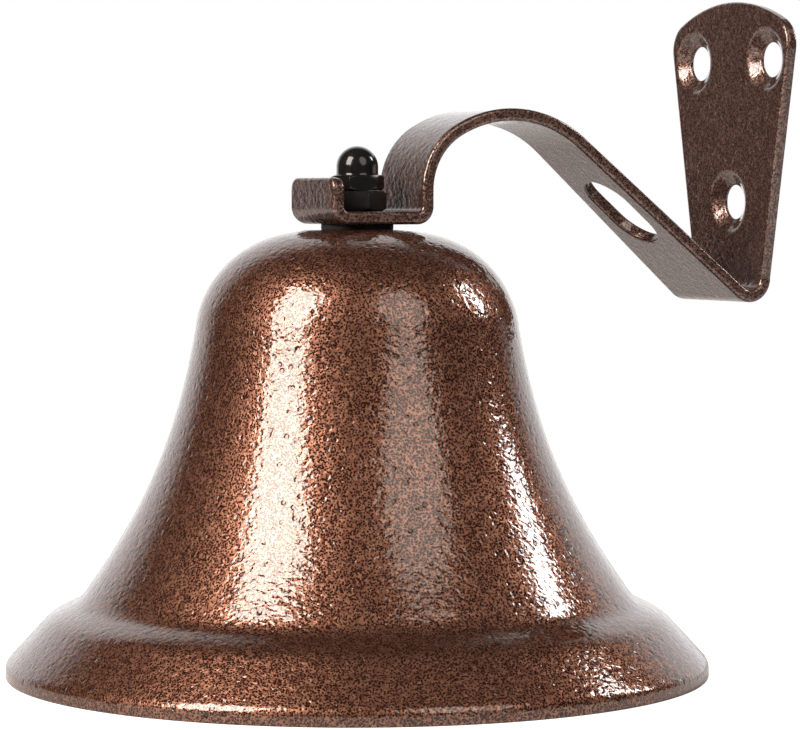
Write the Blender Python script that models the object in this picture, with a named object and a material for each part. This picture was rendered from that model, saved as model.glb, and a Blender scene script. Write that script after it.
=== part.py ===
"""Yard dinner bell on a wall bracket, built as separate pieces.

A spun steel bell is clamped under the foot of a bent strap bracket by an eye
bolt. The bolt comes up through the crown and the foot, a hexagon nut and an
acorn nut hold it on top, and a nut with two washers grips the crown from
inside. A closed link hangs from the bolt's eye, and the clapper hangs from the
link: a rod with an eye, an iron ball, and a small eye nut for the pull cord.

Frame: +Z up, +X from the bell towards the wall, +Y to the side. The origin is
on the back face of the wall plate, on its centre line, midway in height
between the lower screw hole and the two upper ones.
Sizes are in millimetres and degrees; meshes are written in metres.
"""
import math

import bmesh
import bpy
from mathutils import Matrix, Vector

MM = 0.001

# ---- clearances -----------------------------------------------------------
GAP = 0.3                # between pieces that touch on the real bell
HOLE_CLEARANCE = 0.6     # round the bolt in the foot, the crown and the washers

# ---- strap bracket --------------------------------------------------------
STRAP_T = 3.4            # strap thickness with its coating
STRAP_W = 25.0           # width of the foot, riser and arch
BEND_W = 33.6            # width where the slope meets the wall plate
BEND_R = 3.2             # inside radius of the sharp bend under the plate
SLOPE_DEG = 39.8         # fall of the slope towards the wall
SLOPE_LEN = 62.5         # straight part of the slope
ARCH_WALL_R = 32.4       # inside radius of the arch on the wall side
ARCH_BELL_R = 16.3       # inside radius of the arch on the bell side
ARCH_BELL_DEG = 60.8     # part of the turn that the tighter arc makes
RISER_LEN = 4.2          # straight part of the riser
CORNER_R = 1.3           # inside radius of the two foot corners
FOOT_LEN = 20.4          # flat part of the foot
LIP_LEN = 7.5            # straight part of the lip
LIP_ROUND = 3.0          # rounding of the lip's free corners
BOLT_FROM_RISER = 13.0   # bolt axis to the riser's near face

# ---- wall plate -----------------------------------------------------------
SINK_MARGIN = 2.2        # metal left beside an upper countersink
PLATE_TOP_R = 55.0       # radius of the curved top edge
PLATE_CORNER_R = 8.0     # rounding between the top edge and the sides
TOP_MARGIN = 8.2         # metal left over an upper countersink
LOWER_HOLE_UP = 20.9     # end of the bend to the lower hole
HOLE_RISE = 39.0         # lower hole to the upper holes
HOLE_SPACING = 35.0      # between the two upper holes
HOLE_D = 9.5             # screw hole
SINK_D = 16.6            # countersink at the front face
SINK_LAND = 1.0          # straight wall left under the countersink
CUT_PAST = 1.0           # how far a cutting tool reaches past the metal

# ---- slot in the slope ----------------------------------------------------
SLOT_LEN = 25.4
SLOT_W = 16.6
SLOT_FROM_ARCH = 26.5    # end of the arch to the slot's centre

# ---- bell -----------------------------------------------------------------
BELL_H = 116.9           # crown to rim
SHELL_T = 2.5            # wall thickness
CROWN_MARGIN = 1.0       # flat seat left round the widest washer
MOUTH_R = 92.4           # outside of the rim
CROWN_DEG = 2.8          # fall of the crown beside its seat
SHOULDER_R = 42.3        # shoulder: radius, drop below the crown, wall angle
SHOULDER_DROP = 23.7
SHOULDER_DEG = 81.0
FLARE_IN = 22.9          # end of the flare: in from the mouth, up from the rim, angle
FLARE_Z = 25.0
FLARE_DEG = 55.0
CREASE_IN = 17.3         # crease between flare and skirt
CREASE_Z = 18.9
CREASE_DEG = 24.0
SKIRT_IN = 8.9           # skirt shoulder
SKIRT_Z = 13.4
SKIRT_DEG = 46.6
# how long each curve of the outline keeps its first and last direction, as
# parts of the way between its ends
CROWN_PULLS = (0.60, 0.15)
WALL_PULLS = (0.33, 0.38)
CREASE_PULLS = (0.35, 0.35)
SKIRT_PULLS = (0.60, 0.35)
RIM_BAND = 3.4           # height of the rim's upright edge
RIM_T = 2.9              # width of the rim's flat underside
RIM_CHAMFER = 0.4

# ---- bolt, washers and nuts -----------------------------------------------
BOLT_D = 7.6
BOLT_CHAMFER = 0.6
WASHER_CHAMFER = 0.15    # part of a washer's thickness
CROWN_WASHER_D = 19.0
CROWN_WASHER_T = 0.7
CUSHION_D = 22.0
CUSHION_T = 1.5
INNER_WASHER_D = 19.0
INNER_WASHER_T = 1.6
INNER_NUT_AF = 12.7
INNER_NUT_H = 5.0
CLAMP_NUT_AF = 13.7
CLAMP_NUT_H = 5.1
CLAMP_NUT_TURN = 25.5    # direction of one corner, from +X
ACORN_AF = 12.7
ACORN_HEX_H = 4.1
ACORN_DOME_D = 11.0
ACORN_H = 11.4
ACORN_WALL = 1.1         # metal left at the tip of the blind thread
ACORN_TURN = 46.9
INNER_NUT_TURN = 10.0
NUT_CHAMFER_DEG = 30.0
NUT_FACE = 0.97          # round bearing face, as part of the width across flats
EYE_NECK = 1.0           # inner nut to the top of the eye
EYE_BORE = 9.5           # hole of the bolt's eye

# ---- link and clapper -----------------------------------------------------
LINK_WIRE = 4.0
LINK_ROOM = 2.5          # between the bolt's eye and the rod's eye, inside the link
ROD_D = 5.0
ROD_CHAMFER = 0.4        # rod's end and the collar's upper edge
ROD_EYE_WIRE = 4.4
ROD_EYE_BORE = 8.0
BALL_D = 36.0
TAIL_UP = 1.14           # rim to the lowest point of the cord's eye
BALL_FLAT_D = 12.0       # flats where the collar and the eye nut seat
COLLAR_D = 10.0
COLLAR_H = 2.4
CORD_NUT_D = 9.4
CORD_NUT_H = 4.2
CORD_EYE_WIRE = 2.6
CORD_EYE_BORE = 6.4
CORD_NUT_ROOF = 1.0      # metal left under the rod's end
CORD_NUT_CHAMFER = 0.5
CORD_EYE_SUNK = 0.35     # part of the eye's wire that runs into the nut

# ---- smoothness of the solids ---------------------------------------------
BELL_STEPS = 48
BALL_STEPS = 28
ROUND_STEPS = 24
WIRE_STEPS = 10
LINK_END_STEPS = 10      # in each half turn of the link
ARC_STEP_DEG = 9.0
PLATE_TOP_STEPS = 5
PLATE_CORNER_STEPS = 8
LIP_CORNER_STEPS = 4
DOME_STEPS = 8
CROWN_CURVE_STEPS = 11
WALL_CURVE_STEPS = 8
CREASE_CURVE_STEPS = 4
SKIRT_CURVE_STEPS = 4

# ---- stack heights, measured from the underside of the foot ----------------
CROWN_R = max(CROWN_WASHER_D, CUSHION_D, INNER_WASHER_D) / 2 + CROWN_MARGIN
CROWN_TOP = -(GAP + CROWN_WASHER_T + GAP)
RIM_BOTTOM = CROWN_TOP - BELL_H
CUSHION_TOP = CROWN_TOP - SHELL_T - GAP
INNER_WASHER_TOP = CUSHION_TOP - CUSHION_T - GAP
INNER_NUT_TOP = INNER_WASHER_TOP - INNER_WASHER_T - GAP
EYE_RING_R = (EYE_BORE + BOLT_D) / 2
EYE_Z = INNER_NUT_TOP - INNER_NUT_H - EYE_NECK - EYE_RING_R - BOLT_D / 2
LINK_PIVOT_Z = EYE_Z - EYE_RING_R
CLAMP_NUT_Z = STRAP_T + GAP
ACORN_Z = CLAMP_NUT_Z + CLAMP_NUT_H + GAP
BOLT_TOP = ACORN_Z + ACORN_H - ACORN_WALL - ACORN_DOME_D / 4

# ---- heights of the link and clapper, each from its own pivot ---------------
LINK_INSIDE_W = max(BOLT_D, ROD_EYE_WIRE) + 2 * GAP
LINK_PITCH = BOLT_D / 2 + LINK_ROOM + ROD_EYE_WIRE + GAP + LINK_WIRE / 2
ROD_EYE_R = (ROD_EYE_BORE + ROD_EYE_WIRE) / 2
ROD_EYE_Z = LINK_WIRE / 2 + GAP - ROD_EYE_BORE / 2
CORD_EYE_R = (CORD_EYE_BORE + CORD_EYE_WIRE) / 2
CORD_EYE_DROP = CORD_EYE_R + CORD_EYE_WIRE * (0.5 - CORD_EYE_SUNK)
TAIL_END = RIM_BOTTOM + TAIL_UP - (LINK_PIVOT_Z - LINK_PITCH)
CORD_NUT_LOW = TAIL_END + CORD_EYE_WIRE / 2 + CORD_EYE_R + CORD_EYE_DROP
CORD_NUT_TOP = CORD_NUT_LOW + CORD_NUT_H
ROD_END = CORD_NUT_LOW + CORD_NUT_ROOF + GAP
BALL_BOTTOM = CORD_NUT_TOP + GAP
BALL_FLAT = math.sqrt((BALL_D / 2) ** 2 - (BALL_FLAT_D / 2) ** 2)
BALL_Z = BALL_BOTTOM + BALL_FLAT
BALL_TOP = BALL_Z + BALL_FLAT


def remove_everything():
    for thing in list(bpy.data.objects):
        bpy.data.objects.remove(thing)


def finish(name, colour, metallic, roughness):
    """A Principled material."""
    made = bpy.data.materials.new(name)
    made.use_nodes = True
    shader = made.node_tree.nodes["Principled BSDF"]
    shader.inputs["Base Color"].default_value = (*colour, 1.0)
    shader.inputs["Metallic"].default_value = metallic
    shader.inputs["Roughness"].default_value = roughness
    made.diffuse_color = (*colour, 1.0)
    return made


def pivot(name, place, parent=None):
    """An empty that pieces hang from; place is in millimetres."""
    made = bpy.data.objects.new(name, None)
    bpy.context.collection.objects.link(made)
    made.location = Vector(place) * MM
    made.parent = parent
    return made


def piece(name, bm, material=None, parent=None, place=(0, 0, 0), smooth_deg=35):
    """Turn a bmesh drawn in millimetres into a named object."""
    bmesh.ops.remove_doubles(bm, verts=bm.verts, dist=1e-5)
    bmesh.ops.recalc_face_normals(bm, faces=bm.faces)
    bmesh.ops.scale(bm, vec=(MM, MM, MM), verts=bm.verts)
    mesh = bpy.data.meshes.new(name)
    bm.to_mesh(mesh)
    bm.free()
    mesh.shade_smooth()
    mesh.set_sharp_from_angle(angle=math.radians(smooth_deg))
    made = bpy.data.objects.new(name, mesh)
    bpy.context.collection.objects.link(made)
    made.location = Vector(place) * MM
    made.parent = parent
    if material:
        mesh.materials.append(material)
    return made


def tool(name, bm, parent=None, place=(0, 0, 0)):
    """A body that only cuts or joins another piece."""
    made = piece(name, bm, None, parent, place)
    made.hide_render = True
    made.display_type = "WIRE"
    return made


def combine(target, other, operation):
    """Cut, join or intersect with a tool, by a live Boolean."""
    step = target.modifiers.new(other.name, "BOOLEAN")
    step.operation = operation
    step.solver = "EXACT"
    step.object = other


def turned(outline, steps=ROUND_STEPS):
    """Spin a closed outline of (radius, height) points round +Z.

    A side that lies on the axis is left out, so the poles close by themselves.
    """
    bm = bmesh.new()
    points = [bm.verts.new((r, 0, z)) for r, z in outline]
    sides = zip(points, points[1:] + points[:1])
    edges = [bm.edges.new((a, b)) for a, b in sides if a.co.x > 0 or b.co.x > 0]
    bmesh.ops.spin(bm, geom=points + edges, cent=(0, 0, 0), axis=(0, 0, 1),
                   angle=2 * math.pi, steps=steps, use_merge=True)
    bmesh.ops.remove_doubles(bm, verts=bm.verts, dist=1e-5)
    return bm


def rod_outline(radius, low, high, chamfer=0.0):
    """Half outline of a solid rod with chamfered ends."""
    return [(0, high), (radius - chamfer, high), (radius, high - chamfer),
            (radius, low + chamfer), (radius - chamfer, low), (0, low)]


def pipe_outline(inside, outside, low, high, chamfer=0.0):
    """Outline of a washer, bush or any ring of rectangular section."""
    return [(inside, high), (outside - chamfer, high), (outside, high - chamfer),
            (outside, low + chamfer), (outside - chamfer, low), (inside, low)]


def torus(ring_r, wire_r):
    """A wire ring round the Y axis, centred on the origin."""
    bm = bmesh.new()
    bmesh.ops.create_circle(bm, segments=WIRE_STEPS, radius=wire_r)
    bmesh.ops.translate(bm, vec=(ring_r, 0, 0), verts=bm.verts)
    bmesh.ops.rotate(bm, cent=(0, 0, 0), verts=bm.verts,
                     matrix=Matrix.Rotation(math.radians(90), 3, "X"))
    bmesh.ops.rotate(bm, cent=(0, 0, 0), verts=bm.verts,
                     matrix=Matrix.Rotation(math.radians(90), 3, "X"))
    bmesh.ops.spin(bm, geom=bm.verts[:] + bm.edges[:], cent=(0, 0, 0), axis=(0, 1, 0),
                   angle=2 * math.pi, steps=ROUND_STEPS, use_merge=True)
    return bm


def hexagon(across_flats, height, turn_deg):
    """A hexagon prism on the XY plane, one corner turned turn_deg from +X."""
    bm = bmesh.new()
    corner = across_flats / math.sqrt(3)
    bmesh.ops.create_cone(bm, cap_ends=True, segments=6, radius1=corner,
                          radius2=corner, depth=height)
    first = bm.verts[:][0].co
    now = math.atan2(first.y, first.x)
    bmesh.ops.rotate(bm, cent=(0, 0, 0), verts=bm.verts,
                     matrix=Matrix.Rotation(math.radians(turn_deg) - now, 3, "Z"))
    bmesh.ops.translate(bm, vec=(0, 0, height / 2), verts=bm.verts)
    return bm


def nut_chamfer(across_flats, height):
    """The double cone that takes the corners off a hexagon prism."""
    face = across_flats / 2 * NUT_FACE
    widest = face + height / 2 / math.tan(math.radians(NUT_CHAMFER_DEG))
    return turned([(0, height), (face, height), (widest, height / 2), (face, 0), (0, 0)])


def hex_nut(name, across_flats, height, turn_deg, material, parent, low):
    """A chamfered hexagon nut with a through bore."""
    nut = piece(name, hexagon(across_flats, height, turn_deg), material,
                parent, (0, 0, low), smooth_deg=20)
    combine(nut, tool(name + "_chamfer", nut_chamfer(across_flats, height),
                      parent, (0, 0, low)), "INTERSECT")
    bore = rod_outline(BOLT_D / 2 + GAP, -CUT_PAST, height + CUT_PAST)
    combine(nut, tool(name + "_bore", turned(bore), parent, (0, 0, low)), "DIFFERENCE")
    return nut


# ---- the strap ------------------------------------------------------------
class StrapPath:
    """Centre line of the strap in the XZ plane, as a list of stations.

    A station is (point, side, half_width): side is the unit vector across the
    thickness, towards the wall on the plate and up on the foot.
    """

    def __init__(self, start, heading_deg):
        self.point = Vector((start[0], start[1]))
        self.heading = heading_deg
        self.stations = []

    def direction(self):
        turn = math.radians(self.heading)
        return Vector((math.cos(turn), math.sin(turn)))

    def mark(self, half_width):
        way = self.direction()
        self.stations.append((self.point.copy(), Vector((-way.y, way.x)), half_width))

    def straight(self, length):
        self.point = self.point + self.direction() * length

    def arc(self, radius, turn_deg, half_width):
        """Turn left for a positive angle; radius is the centre line's."""
        steps = max(2, math.ceil(abs(turn_deg) / ARC_STEP_DEG))
        way = self.direction()
        left = Vector((-way.y, way.x)) * math.copysign(1, turn_deg)
        centre = self.point + left * radius
        spoke = self.point - centre
        start = self.heading
        for step in range(1, steps + 1):
            turned_by = math.radians(turn_deg * step / steps)
            self.point = centre + Vector((
                spoke.x * math.cos(turned_by) - spoke.y * math.sin(turned_by),
                spoke.x * math.sin(turned_by) + spoke.y * math.cos(turned_by)))
            self.heading = start + turn_deg * step / steps
            self.mark(half_width)


def plate_outline(plate_len):
    """Half widths of the wall plate against distance below its top edge.

    A large arc makes the top edge, a smaller arc rounds the corner, and a
    straight side tapers down to the bend, plate_len below the top.
    """
    arc_centre = Vector((0, -PLATE_TOP_R))
    low = Vector((BEND_W / 2, -plate_len))
    wide = Vector((HOLE_SPACING / 2 + SINK_D / 2 + SINK_MARGIN, -PLATE_TOP_UP))
    side = (wide - low).normalized()
    inward = Vector((-side.y, side.x))
    offset = low + inward * PLATE_CORNER_R - arc_centre
    reach = PLATE_TOP_R - PLATE_CORNER_R
    half_b = offset.dot(side)
    along = -half_b + math.sqrt(half_b ** 2 - offset.length_squared + reach ** 2)
    corner = low + inward * PLATE_CORNER_R + side * along
    spoke = (corner - arc_centre).normalized()
    top_turn = math.atan2(spoke.x, spoke.y)
    side_turn = math.atan2(-inward.x, -inward.y)
    points = [Vector((0, 0))]
    for step in range(1, PLATE_TOP_STEPS + 1):
        turn = top_turn * step / PLATE_TOP_STEPS
        points.append(arc_centre + Vector((math.sin(turn), math.cos(turn))) * PLATE_TOP_R)
    for step in range(1, PLATE_CORNER_STEPS + 1):
        turn = top_turn + (side_turn - top_turn) * step / PLATE_CORNER_STEPS
        points.append(corner + Vector((math.sin(turn), math.cos(turn))) * PLATE_CORNER_R)
    points.append(low)
    return [(-p.y, p.x) for p in points]


PLATE_TOP_UP = SINK_D / 2 + TOP_MARGIN       # upper holes to the top edge
PLATE_LEN = PLATE_TOP_UP + HOLE_RISE + LOWER_HOLE_UP
PLATE_TOP_Z = HOLE_RISE / 2 + PLATE_TOP_UP
BEND_MID_R = BEND_R + STRAP_T / 2
BEND_DEG = 90 + SLOPE_DEG
FOOT_CORNER_MID_R = CORNER_R + STRAP_T / 2


def strap_path():
    """Walk from the plate's top edge down, round the bend and out to the lip."""
    path = StrapPath((-STRAP_T / 2, PLATE_TOP_Z), -90)
    done = 0.0
    for below, half_width in plate_outline(PLATE_LEN):
        path.straight(below - done)
        done = below
        path.mark(half_width)
    path.arc(BEND_MID_R, -BEND_DEG, BEND_W / 2)
    path.straight(SLOPE_LEN)
    path.mark(STRAP_W / 2)
    slope_top = path.point.copy()
    path.arc(ARCH_WALL_R + STRAP_T / 2, 90 + SLOPE_DEG - ARCH_BELL_DEG, STRAP_W / 2)
    path.arc(ARCH_BELL_R + STRAP_T / 2, ARCH_BELL_DEG, STRAP_W / 2)
    riser_x = path.point.x
    path.straight(RISER_LEN)
    path.mark(STRAP_W / 2)
    path.arc(FOOT_CORNER_MID_R, -90, STRAP_W / 2)
    foot_z = path.point.y
    path.straight(FOOT_LEN)
    path.mark(STRAP_W / 2)
    path.arc(FOOT_CORNER_MID_R, -90, STRAP_W / 2)
    path.straight(LIP_LEN - LIP_ROUND)
    path.mark(STRAP_W / 2)
    square_half = STRAP_W / 2 - LIP_ROUND
    done = 0.0
    for step in range(1, LIP_CORNER_STEPS + 1):
        turn = math.radians(90 * step / LIP_CORNER_STEPS)
        path.straight(LIP_ROUND * math.sin(turn) - done)
        done = LIP_ROUND * math.sin(turn)
        path.mark(square_half + LIP_ROUND * math.cos(turn))
    return path.stations, slope_top, riser_x, foot_z


STATIONS, SLOPE_TOP, RISER_X, FOOT_Z = strap_path()
BOLT_X = RISER_X - STRAP_T / 2 - BOLT_FROM_RISER
SEAT_Z = FOOT_Z - STRAP_T / 2    # underside of the foot


def strap_mesh():
    """Join the four corners of each station's section to the next one's."""
    bm = bmesh.new()
    rings = []
    for point, side, half_width in STATIONS:
        ring = []
        for across, sideways in ((1, 1), (1, -1), (-1, -1), (-1, 1)):
            at = point + side * (across * STRAP_T / 2)
            ring.append(bm.verts.new((at.x, sideways * half_width, at.y)))
        rings.append(ring)
    for ring, following in zip(rings, rings[1:]):
        for k in range(4):
            m = (k + 1) % 4
            bm.faces.new((ring[k], ring[m], following[m], following[k]))
    bm.faces.new(rings[0])
    bm.faces.new(rings[-1])
    bmesh.ops.remove_doubles(bm, verts=bm.verts, dist=1e-5)
    bmesh.ops.dissolve_degenerate(bm, dist=1e-5, edges=bm.edges)
    return bm


def screw_hole_tool(name, y, z):
    """A countersunk hole through the plate, opening towards the bell."""
    hole_r = HOLE_D / 2
    sink_r = SINK_D / 2
    slope = (sink_r - hole_r) / (STRAP_T - SINK_LAND)
    top = STRAP_T + CUT_PAST
    outline = [(0, top), (sink_r + CUT_PAST * slope, top), (hole_r, SINK_LAND),
               (hole_r, -CUT_PAST), (0, -CUT_PAST)]
    cutter = tool(name, turned(outline), None, (0, y, z))
    cutter.rotation_euler = (0, math.radians(-90), 0)
    return cutter


def slot_tool():
    """An oblong prism square to the slope."""
    bm = bmesh.new()
    radius = SLOT_W / 2
    straight = (SLOT_LEN - SLOT_W) / 2
    half_turn = ROUND_STEPS // 2
    corners = []
    for end in (1, -1):
        for step in range(half_turn + 1):
            turn = math.radians(-90 + 180 * step / half_turn) + (0 if end == 1 else math.pi)
            corners.append(bm.verts.new((end * straight + radius * math.cos(turn),
                                         radius * math.sin(turn), -STRAP_T)))
    face = bm.faces.new(corners)
    grown = bmesh.ops.extrude_face_region(bm, geom=[face])
    top = [item for item in grown["geom"] if isinstance(item, bmesh.types.BMVert)]
    bmesh.ops.translate(bm, vec=(0, 0, 2 * STRAP_T), verts=top)
    fall = math.radians(SLOPE_DEG)
    x = SLOPE_TOP.x + math.cos(fall) * SLOT_FROM_ARCH
    z = SLOPE_TOP.y - math.sin(fall) * SLOT_FROM_ARCH
    cutter = tool("slot_cutter", bm, None, (x, 0, z))
    cutter.rotation_euler = (0, fall, 0)
    return cutter


def make_bracket(material):
    bracket = piece("wall_bracket", strap_mesh(), material)
    holes = [("lower", 0.0, -HOLE_RISE / 2),
             ("upper_left", HOLE_SPACING / 2, HOLE_RISE / 2),
             ("upper_right", -HOLE_SPACING / 2, HOLE_RISE / 2)]
    for label, y, z in holes:
        combine(bracket, screw_hole_tool("screw_hole_" + label, y, z), "DIFFERENCE")
    combine(bracket, slot_tool(), "DIFFERENCE")
    bolt_hole = rod_outline(BOLT_D / 2 + HOLE_CLEARANCE, -CUT_PAST, STRAP_T + CUT_PAST)
    combine(bracket, tool("bolt_hole", turned(bolt_hole), None, (BOLT_X, 0, SEAT_Z)),
            "DIFFERENCE")
    return bracket


# ---- the bell -------------------------------------------------------------
def sweep_between(start, start_deg, end, end_deg, pulls, steps):
    """A cubic curve between two points; angles are degrees below level."""
    a, d = Vector(start), Vector(end)
    span = (d - a).length
    out = Vector((math.cos(math.radians(start_deg)), -math.sin(math.radians(start_deg))))
    back = Vector((math.cos(math.radians(end_deg)), -math.sin(math.radians(end_deg))))
    b = a + out * pulls[0] * span
    c = d - back * pulls[1] * span
    points = []
    for step in range(1, steps + 1):
        t = step / steps
        u = 1 - t
        points.append(u ** 3 * a + 3 * u * u * t * b + 3 * u * t * t * c + t ** 3 * d)
    return points


def bell_outside():
    """Outer outline from the crown's seat to the rim, heights above the rim."""
    crown = (CROWN_R, BELL_H)
    shoulder = (SHOULDER_R, BELL_H - SHOULDER_DROP)
    flare = (MOUTH_R - FLARE_IN, FLARE_Z)
    crease = (MOUTH_R - CREASE_IN, CREASE_Z)
    skirt = (MOUTH_R - SKIRT_IN, SKIRT_Z)
    points = [Vector(crown)]
    points += sweep_between(crown, CROWN_DEG, shoulder, SHOULDER_DEG, CROWN_PULLS,
                            CROWN_CURVE_STEPS)
    points += sweep_between(shoulder, SHOULDER_DEG, flare, FLARE_DEG, WALL_PULLS,
                            WALL_CURVE_STEPS)
    points += sweep_between(flare, FLARE_DEG, crease, CREASE_DEG, CREASE_PULLS,
                            CREASE_CURVE_STEPS)
    points += sweep_between(crease, CREASE_DEG, skirt, SKIRT_DEG, SKIRT_PULLS,
                            SKIRT_CURVE_STEPS)
    fall = math.tan(math.radians(SKIRT_DEG))
    edge_r = MOUTH_R - RIM_CHAMFER
    edge_z = SKIRT_Z - (SKIRT_IN - RIM_CHAMFER) * fall
    points.append(Vector((edge_r, max(edge_z, RIM_BAND + RIM_CHAMFER))))
    points.append(Vector((MOUTH_R, RIM_BAND)))
    return points


def inner_offset(outside, thickness):
    """The same outline moved inwards by the wall thickness."""
    moved = []
    for k, here in enumerate(outside):
        before = outside[max(k - 1, 0)]
        after = outside[min(k + 1, len(outside) - 1)]
        way = (after - before).normalized()
        moved.append(here + Vector((way.y, -way.x)) * thickness)
    return moved


def make_bell(material, parent):
    """One closed shell: crown with its bolt hole, flared wall, skirt and rim."""
    hole_r = BOLT_D / 2 + HOLE_CLEARANCE
    outside = bell_outside()
    inner_rim_r = MOUTH_R - RIM_T
    inside = [p for p in inner_offset(outside, SHELL_T)[1:-2]
              if CROWN_R < p.x < inner_rim_r - SHELL_T / 2]
    inside = [Vector((CROWN_R, BELL_H - SHELL_T))] + inside[::2] + inside[-1:]
    inner_rim_z = max(RIM_BAND - SHELL_T, inside[-1].y - (inner_rim_r - inside[-1].x)
                      * math.tan(math.radians(SKIRT_DEG)))
    outline = [(hole_r, BELL_H)] + [tuple(p) for p in outside]
    outline += [(MOUTH_R, RIM_CHAMFER), (MOUTH_R - RIM_CHAMFER, 0.0),
                (inner_rim_r, 0.0), (inner_rim_r, inner_rim_z)]
    outline += [tuple(p) for p in reversed(inside)]
    outline += [(hole_r, BELL_H - SHELL_T)]
    return piece("bell_body", turned(outline, BELL_STEPS), material, parent,
                 (0, 0, RIM_BOTTOM), smooth_deg=50)


# ---- bolt, washers and nuts -----------------------------------------------
def make_eye_bolt(material, parent):
    shank = rod_outline(BOLT_D / 2, EYE_Z + EYE_RING_R, BOLT_TOP, BOLT_CHAMFER)
    bolt = piece("eye_bolt", turned(shank), material, parent)
    ring = tool("eye_ring", torus(EYE_RING_R, BOLT_D / 2), parent, (0, 0, EYE_Z))
    combine(bolt, ring, "UNION")
    return bolt


def make_washer(name, diameter, thickness, top, material, parent):
    outline = pipe_outline(BOLT_D / 2 + HOLE_CLEARANCE, diameter / 2, 0, thickness,
                           thickness * WASHER_CHAMFER)
    return piece(name, turned(outline), material, parent, (0, 0, top - thickness))


def make_acorn_nut(material, parent):
    """A hexagon with a domed cap over a blind bore."""
    place = (0, 0, ACORN_Z)
    nut = piece("acorn_nut", hexagon(ACORN_AF, ACORN_HEX_H, ACORN_TURN), material,
                parent, place, smooth_deg=20)
    chamfer = nut_chamfer(ACORN_AF, ACORN_HEX_H)
    combine(nut, tool("acorn_chamfer", chamfer, parent, place), "INTERSECT")
    radius = ACORN_DOME_D / 2
    centre = ACORN_H - radius
    outline = []
    for step in range(DOME_STEPS + 1):
        turn = math.radians(90 * step / DOME_STEPS)
        outline.append((radius * math.sin(turn), centre + radius * math.cos(turn)))
    outline += [(radius, ACORN_HEX_H / 2), (0, ACORN_HEX_H / 2)]
    combine(nut, tool("acorn_dome", turned(outline), parent, place), "UNION")
    blind_top = BOLT_TOP - ACORN_Z + GAP
    bore = rod_outline(BOLT_D / 2 + GAP, -CUT_PAST, blind_top, BOLT_CHAMFER)
    combine(nut, tool("acorn_bore", turned(bore), parent, place), "DIFFERENCE")
    return nut


# ---- link and clapper -----------------------------------------------------
def make_link(material, parent):
    """A closed oval link in the YZ plane; its upper pivot is the origin."""
    wire_r = LINK_WIRE / 2
    end_r = LINK_INSIDE_W / 2 + wire_r
    top_z = BOLT_D / 2 + GAP + wire_r - end_r
    low_z = -LINK_PITCH + end_r
    curve = bpy.data.curves.new("hanger_link", "CURVE")
    curve.dimensions = "3D"
    curve.bevel_depth = wire_r * MM
    curve.bevel_resolution = 4
    curve.use_fill_caps = True
    spline = curve.splines.new("POLY")
    places = []
    for centre_z, start in ((top_z, 0), (low_z, 180)):
        for step in range(LINK_END_STEPS + 1):
            turn = math.radians(start + 180 * step / LINK_END_STEPS)
            places.append((0, end_r * math.cos(turn), centre_z + end_r * math.sin(turn)))
    spline.points.add(len(places) - 1)
    for point, place in zip(spline.points, places):
        point.co = (*(Vector(place) * MM), 1)
    spline.use_cyclic_u = True
    spline.use_smooth = True
    curve.materials.append(material)
    link = bpy.data.objects.new("hanger_link", curve)
    bpy.context.collection.objects.link(link)
    link.parent = parent
    return link


def make_clapper_rod(material, parent):
    """Rod with an eye on top and a collar that bears on the ball."""
    radius = ROD_D / 2
    collar_low = BALL_TOP + GAP
    collar_high = collar_low + COLLAR_H
    outline = [(0, ROD_EYE_Z - ROD_EYE_R), (radius, ROD_EYE_Z - ROD_EYE_R),
               (radius, collar_high), (COLLAR_D / 2 - ROD_CHAMFER, collar_high),
               (COLLAR_D / 2, collar_high - ROD_CHAMFER), (COLLAR_D / 2, collar_low),
               (radius, collar_low), (radius, ROD_END + ROD_CHAMFER),
               (radius - ROD_CHAMFER, ROD_END), (0, ROD_END)]
    rod = piece("clapper_rod", turned(outline), material, parent)
    eye = tool("rod_eye", torus(ROD_EYE_R, ROD_EYE_WIRE / 2), parent,
               (0, 0, ROD_EYE_Z))
    combine(rod, eye, "UNION")
    return rod


def make_clapper_ball(material, parent):
    """An iron ball with two small flats and a bore for the rod."""
    radius = BALL_D / 2
    bore_r = ROD_D / 2 + GAP
    start = math.asin(BALL_FLAT_D / BALL_D)
    steps = BALL_STEPS // 2 - 2
    outline = [(bore_r, BALL_FLAT)]
    for step in range(steps + 1):
        turn = start + (math.pi - 2 * start) * step / steps
        outline.append((radius * math.sin(turn), radius * math.cos(turn)))
    outline.append((bore_r, -BALL_FLAT))
    return piece("clapper_ball", turned(outline, BALL_STEPS), material, parent,
                 (0, 0, BALL_Z), smooth_deg=40)


def make_cord_eye(material, parent):
    """An eye nut on the end of the rod, where the pull cord is tied."""
    body = rod_outline(CORD_NUT_D / 2, CORD_NUT_LOW, CORD_NUT_TOP, CORD_NUT_CHAMFER)
    nut = piece("cord_eye_nut", turned(body), material, parent)
    ring = tool("cord_ring", torus(CORD_EYE_R, CORD_EYE_WIRE / 2), parent,
                (0, 0, CORD_NUT_LOW - CORD_EYE_DROP))
    combine(nut, ring, "UNION")
    bore = rod_outline(ROD_D / 2 + GAP, ROD_END - GAP, CORD_NUT_TOP + CUT_PAST)
    combine(nut, tool("cord_nut_bore", turned(bore), parent), "DIFFERENCE")
    return nut


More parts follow.
